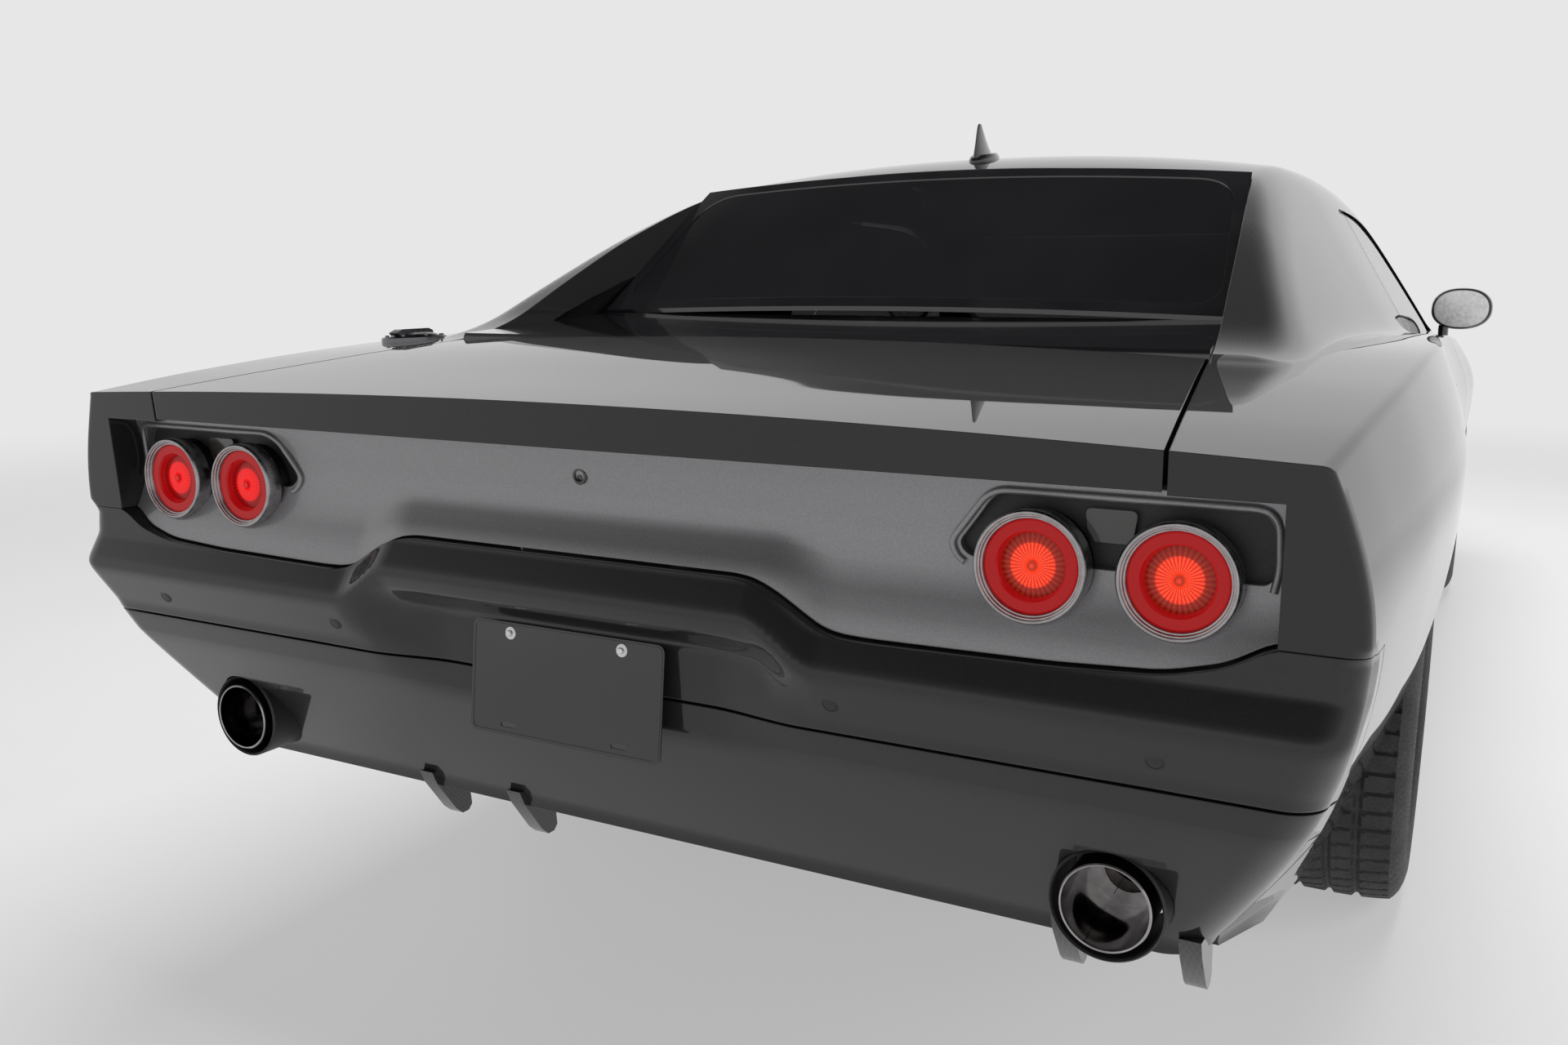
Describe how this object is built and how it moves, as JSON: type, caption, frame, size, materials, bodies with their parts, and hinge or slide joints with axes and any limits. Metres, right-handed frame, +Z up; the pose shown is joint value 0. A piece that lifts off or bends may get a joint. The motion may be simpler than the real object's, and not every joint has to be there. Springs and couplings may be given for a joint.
{
  "type": "two-door fastback muscle car",
  "caption": "Low fastback coupe with flying buttresses, opening doors, hood and decklid, steered front wheels and free-turning road wheels.",
  "frame": {"origin": "on the ground under the middle of the car", "axes": "+Z up, +Y towards the tail (the car faces -Y), +X to the car's left"},
  "size_m": [2.0006, 5.278, 1.5],
  "materials": {
    "black_paint": "high gloss black",
    "grey_paint": "dark grey metallic",
    "black_trim": "satin black",
    "dark_metal": "brushed dark metal",
    "dark_chrome": "dark chrome",
    "red_lens": "red lens, lit",
    "tinted_glass": "dark tinted",
    "tyre": "black rubber",
    "rim": "dark painted alloy",
    "cast": "cast, dark",
    "chassis": "satin black",
    "exhaust_steel": "brushed steel",
    "seat_leather": "black leather",
    "plate_black": "gloss black, blank",
    "cap_metal": "brushed aluminium",
    "engine": "cast alloy"
  },
  "bodies": {
    "body": {"floor_pan": "chassis", "front_fender_left": "black_paint", "front_fender_right": "black_paint", "rear_quarter_left": "black_paint", "rear_quarter_right": "black_paint", "roof": "black_paint", "deck_filler": "black_paint", "windshield": "tinted_glass", "rear_window": "tinted_glass", "quarter_glass": "tinted_glass", "tail_panel": "grey_paint", "tail_lamps": "dark_metal", "tail_lenses": "red_lens", "rear_bumper": "black_paint", "rear_valance": "black_paint", "front_bumper": "black_paint", "grille": "black_trim", "front_subframe": "chassis", "rear_subframe": "chassis", "exhaust": "exhaust_steel", "licence_plate": "plate_black", "fuel_cap": "cap_metal", "antenna_fin": "black_paint", "seats": "seat_leather", "dashboard": "black_trim", "steering_wheel": "black_trim", "powertrain": "engine"},
    "door_left": {"door_left": "black_paint", "door_glass_left": "tinted_glass", "mirror_left": "black_paint"},
    "door_right": {"door_right": "black_paint", "door_glass_right": "tinted_glass", "mirror_right": "black_paint"},
    "hood": {"hood": "black_paint"},
    "decklid": {"decklid": "black_paint"},
    "knuckle_left": {"knuckle_left": "cast"},
    "knuckle_right": {"knuckle_right": "cast"},
    "wheel_front_left": {"tyre_front_left": "tyre", "rim_front_left": "rim"},
    "wheel_front_right": {"tyre_front_right": "tyre", "rim_front_right": "rim"},
    "wheel_rear_left": {"tyre_rear_left": "tyre", "rim_rear_left": "rim"},
    "wheel_rear_right": {"tyre_rear_right": "tyre", "rim_rear_right": "rim"}
  },
  "joints": [
    {"name": "door_left_hinge", "type": "hinge", "parent": "body", "child": "door_left", "pos_m": [0.93, -0.925, 0.625], "axis": [0, 0, -1], "range_deg": [0, 65]},
    {"name": "door_right_hinge", "type": "hinge", "parent": "body", "child": "door_right", "pos_m": [-0.93, -0.925, 0.625], "axis": [0, 0, 1], "range_deg": [0, 65]},
    {"name": "hood_hinge", "type": "hinge", "parent": "body", "child": "hood", "pos_m": [0, -1.06, 0.96], "axis": [-1, 0, 0], "range_deg": [0, 55]},
    {"name": "decklid_hinge", "type": "hinge", "parent": "body", "child": "decklid", "pos_m": [0, 1.953, 1.026], "axis": [1, 0, 0], "range_deg": [0, 70]},
    {"name": "steer_left", "type": "hinge", "parent": "body", "child": "knuckle_left", "pos_m": [0.79, -1.71, 0.358], "axis": [0, 0, 1], "range_deg": [-33, 33]},
    {"name": "steer_right", "type": "hinge", "parent": "body", "child": "knuckle_right", "pos_m": [-0.79, -1.71, 0.358], "axis": [0, 0, 1], "range_deg": [-33, 33]},
    {"name": "wheel_front_left_spin", "type": "hinge", "parent": "knuckle_left", "child": "wheel_front_left", "pos_m": [0.8275, -1.71, 0.358], "axis": [1, 0, 0], "continuous": true},
    {"name": "wheel_front_right_spin", "type": "hinge", "parent": "knuckle_right", "child": "wheel_front_right", "pos_m": [-0.8275, -1.71, 0.358], "axis": [1, 0, 0], "continuous": true},
    {"name": "wheel_rear_left_spin", "type": "hinge", "parent": "body", "child": "wheel_rear_left", "pos_m": [0.8125, 1.25, 0.358], "axis": [1, 0, 0], "continuous": true},
    {"name": "wheel_rear_right_spin", "type": "hinge", "parent": "body", "child": "wheel_rear_right", "pos_m": [-0.8125, 1.25, 0.358], "axis": [1, 0, 0], "continuous": true}
  ],
  "couplings": [
    {"joint": "steer_right", "follows": "steer_left", "ratio": 1}
  ]
}
